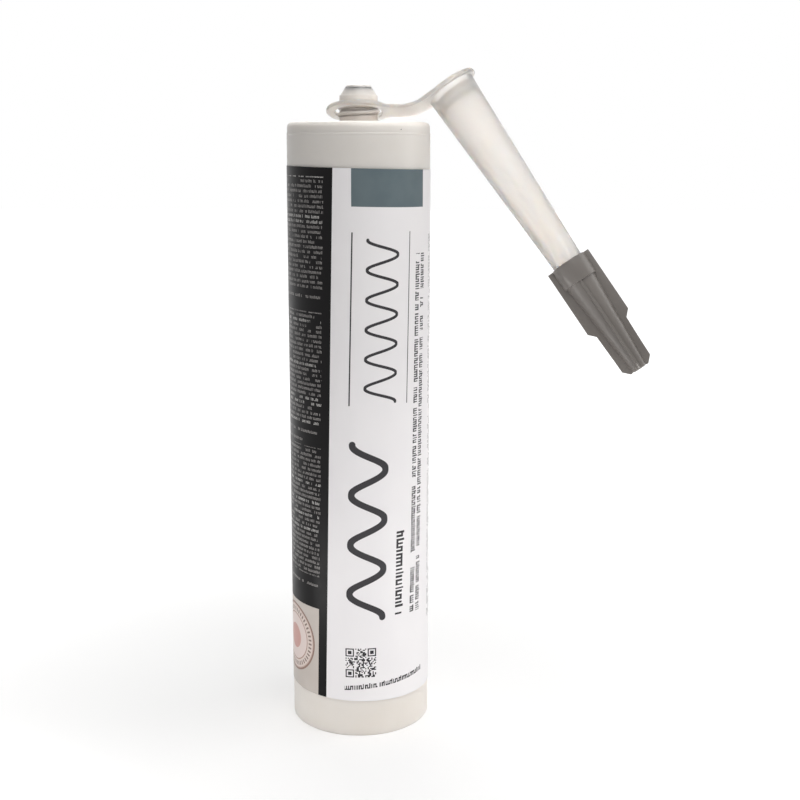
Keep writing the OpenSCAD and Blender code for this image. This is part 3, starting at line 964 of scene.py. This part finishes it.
def build_cap():
    mouth = cone_r(CONE_LEN - CAP_GRIP) + CAP_GAP
    taper = CAP_LEN - CAP_ROUND - COLLAR_H
    outside = corner(mouth, 0, CAP_MOUTH[:1])
    outside += corner(mouth + COLLAR_WALL, 0, COLLAR_TOP)
    outside += corner(mouth + COLLAR_WALL, -COLLAR_H, COLLAR_FOOT)
    outside += corner(CAP_BODY_TOP, -COLLAR_H, BODY_TOP)
    outside += [(CAP_BODY_TOP + (CAP_BODY_END - CAP_BODY_TOP) * t, -COLLAR_H - taper * t)
                for t in (i / 8 for i in range(1, 8))]
    outside += arc(CAP_BODY_END - CAP_ROUND, CAP_ROUND - CAP_LEN, CAP_ROUND, 0, -QUARTER, 8)
    outside += [(0, -CAP_LEN)]

    spout = -CAP_GRIP - SPOUT_LEN
    bottom = spout - CAP_ROOM
    inside = corner(mouth, 0, CAP_MOUTH)
    inside += [(CONE_LOW + CAP_GAP, -CAP_GRIP - CAP_GAP), (SPOUT_TOP + CAP_GAP, -CAP_GRIP - CAP_GAP)]
    inside += [(SPOUT_END + CAP_GAP, spout), (SPOUT_END + CAP_GAP, bottom), (0, bottom)]

    bm = bmesh.new()
    lathe(bm, outside, 128)
    lathe(bm, inside, 128)
    bmesh.ops.remove_doubles(bm, verts=bm.verts, dist=1e-4)

    # Each outline starts and ends inside the cap's wall
    foot = [(1.2, 0.5 - CAP_LEN), (FIN_END_R, -CAP_LEN), (FIN_TOP_R - 0.3, FIN_CUT - CAP_LEN)]
    wing = [(3.0, -WING_LEN - 0.9), (3.0, 6 - CAP_LEN)] + foot
    wing += [(FIN_TOP_R, -WING_LEN - WING_SLOPE), (WING_R, -WING_LEN), (WING_R, 0)]
    wing += [(mouth + 0.3, 0), (mouth + 0.3, -CAP_GRIP), (5.3, -CAP_GRIP - 0.5)]
    rib = foot + [(FIN_TOP_R, 0.8 - COLLAR_H), (5.2, 0.8 - COLLAR_H), (3.0, 8 - CAP_LEN)]
    for turn in (0, math.pi):
        fin(bm, wing, turn, edge=0.14, segments=2)
        fin(bm, rib, turn + math.pi / 2, edge=0.3, segments=4)
    piece = new_piece("cap_body", bm, at=CAP_AT, body="cap", smooth=30)
    CAP_MAT.on(piece)
    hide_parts("cap")


# Floor, light and camera, in metres

DAY = (1, 0.99, 0.975)
COOL_DAY = (1, 0.99, 0.98)
WARM_DAY = (1, 0.985, 0.97)
# Soft lamps: place, width and height, power in watts, colour
LAMPS = {
    "side": ((1.0, 0.15, 0.45), (0.6, 0.9), 2.5, DAY),
    "top": ((0.2, -0.15, 1.05), (0.7, 0.7), 3.2, DAY),
    "near_top": ((0.12, -0.03, 0.62), (0.3, 0.3), 0.5, DAY),
    "head": ((0.06, -0.14, 0.3), (0.08, 0.04), 0.075, WARM_DAY),
    "back": ((-0.1, 0.7, 0.8), (0.6, 0.6), 2.8, COOL_DAY),
    "low_right": ((0.15, -0.1, 0.01), (0.12, 0.02), 0.088, WARM_DAY),
    "low_left": ((-0.12, -0.1, 0.01), (0.12, 0.02), 0.075, WARM_DAY),
    "low_front": ((0.02, -0.2, 0.01), (0.2, 0.02), 0.065, WARM_DAY),
}
LAMP_AIM = Vector((0.02, 0, 0.12))
AROUND = 0.26              # the world's strength for all that isn't seen directly
FLOOR_HALF = 4.0
FLOOR_NEAR = 0.06          # the floor's glow grows between these distances from the object
FLOOR_FAR = 0.4
FLOOR_GLOW = 0.52
FLOOR_RISE = 0.5
FLOOR_WHITE = (0.9, 0.9, 0.9)
FLOOR_SHOWN = (0.5, 0.5, 0.5)

PICTURE = 800              # the picture's width in pixels
FOCAL = 1240.3             # focal length in the same pixels
SENSOR = 36                # millimetres
CAMERA_AT = Vector((0.0144627, -0.43668, 0.20532))
CAMERA_DOWN = 0.198
CAMERA_ROLL = 0.0024


def seen_directly(tree):
    """1 where the camera sees a surface, straight, in gloss or through a clear piece."""
    path = tree.nodes.new("ShaderNodeLightPath")
    seen = Sock(tree, path.outputs["Is Camera Ray"])
    seen = seen.max(Sock(tree, path.outputs["Is Glossy Ray"]))
    return seen.max(Sock(tree, path.outputs["Is Transmission Ray"]))


def floor_material():
    """A white floor: matt for the light it sends back, and white with the object's shadow for the camera."""
    mat = bpy.data.materials.new("floor")
    mat.use_nodes = True
    tree = mat.node_tree
    tree.nodes.remove(tree.nodes["Principled BSDF"])
    plain = tree.nodes.new("ShaderNodeBsdfDiffuse")
    plug(tree, plain.inputs["Color"], FLOOR_WHITE)
    shown = tree.nodes.new("ShaderNodeBsdfDiffuse")
    plug(tree, shown.inputs["Color"], FLOOR_SHOWN)
    place = tree.nodes.new("ShaderNodeTexCoord")
    away = tree.nodes.new("ShaderNodeVectorMath")
    away.operation = "LENGTH"
    plug(tree, away.inputs[0], place.outputs["Object"])
    glow = tree.nodes.new("ShaderNodeEmission")
    rise = Sock(tree, away.outputs["Value"]).soft(FLOOR_NEAR, FLOOR_FAR)
    plug(tree, glow.inputs["Strength"], rise * FLOOR_RISE + FLOOR_GLOW)
    both = tree.nodes.new("ShaderNodeAddShader")
    plug(tree, both.inputs[0], shown.outputs[0])
    plug(tree, both.inputs[1], glow.outputs[0])
    mix = tree.nodes.new("ShaderNodeMixShader")
    plug(tree, mix.inputs[0], seen_directly(tree))
    plug(tree, mix.inputs[1], plain.outputs[0])
    plug(tree, mix.inputs[2], both.outputs[0])
    plug(tree, tree.nodes["Material Output"].inputs["Surface"], mix.outputs[0])
    return mat


def place_object(name, data):
    obj = bpy.data.objects.new(name, data)
    bpy.context.scene.collection.objects.link(obj)
    return obj


def build_floor():
    bm = bmesh.new()
    bmesh.ops.create_grid(bm, x_segments=1, y_segments=1, size=FLOOR_HALF)
    mesh = bpy.data.meshes.new("floor")
    bm.to_mesh(mesh)
    bm.free()
    floor = place_object("floor", mesh)
    floor.data.materials.append(floor_material())


def build_light():
    world = bpy.data.worlds.new("world")
    bpy.context.scene.world = world
    world.use_nodes = True
    tree = world.node_tree
    back = tree.nodes["Background"]
    plug(tree, back.inputs["Color"], (1, 1, 1))
    plug(tree, back.inputs["Strength"], seen_directly(tree) * (1 - AROUND) + AROUND)
    for name, (at, size, power, color) in LAMPS.items():
        data = bpy.data.lights.new(name, "AREA")
        data.shape = "RECTANGLE"
        data.size = size[0]
        data.size_y = size[1]
        data.energy = power
        data.color = color
        lamp = place_object(name, data)
        lamp.location = at
        lamp.visible_camera = False
        lamp.rotation_euler = (LAMP_AIM - Vector(at)).to_track_quat("-Z", "Y").to_euler()


def build_camera():
    data = bpy.data.cameras.new("camera")
    data.sensor_width = SENSOR
    data.lens = FOCAL / PICTURE * SENSOR
    data.clip_start = 0.01
    data.clip_end = 20
    camera = place_object("camera", data)
    pitch = Matrix.Rotation(math.pi / 2 - CAMERA_DOWN, 4, "X")
    camera.matrix_world = Matrix.Translation(CAMERA_AT) @ pitch @ Matrix.Rotation(CAMERA_ROLL, 4, "Z")
    bpy.context.scene.camera = camera


build_barrel()
build_label()
build_paste()
build_moulding()
build_cap()
build_piston()
build_floor()
build_light()
build_camera()
bpy.context.scene.view_settings.view_transform = "Standard"
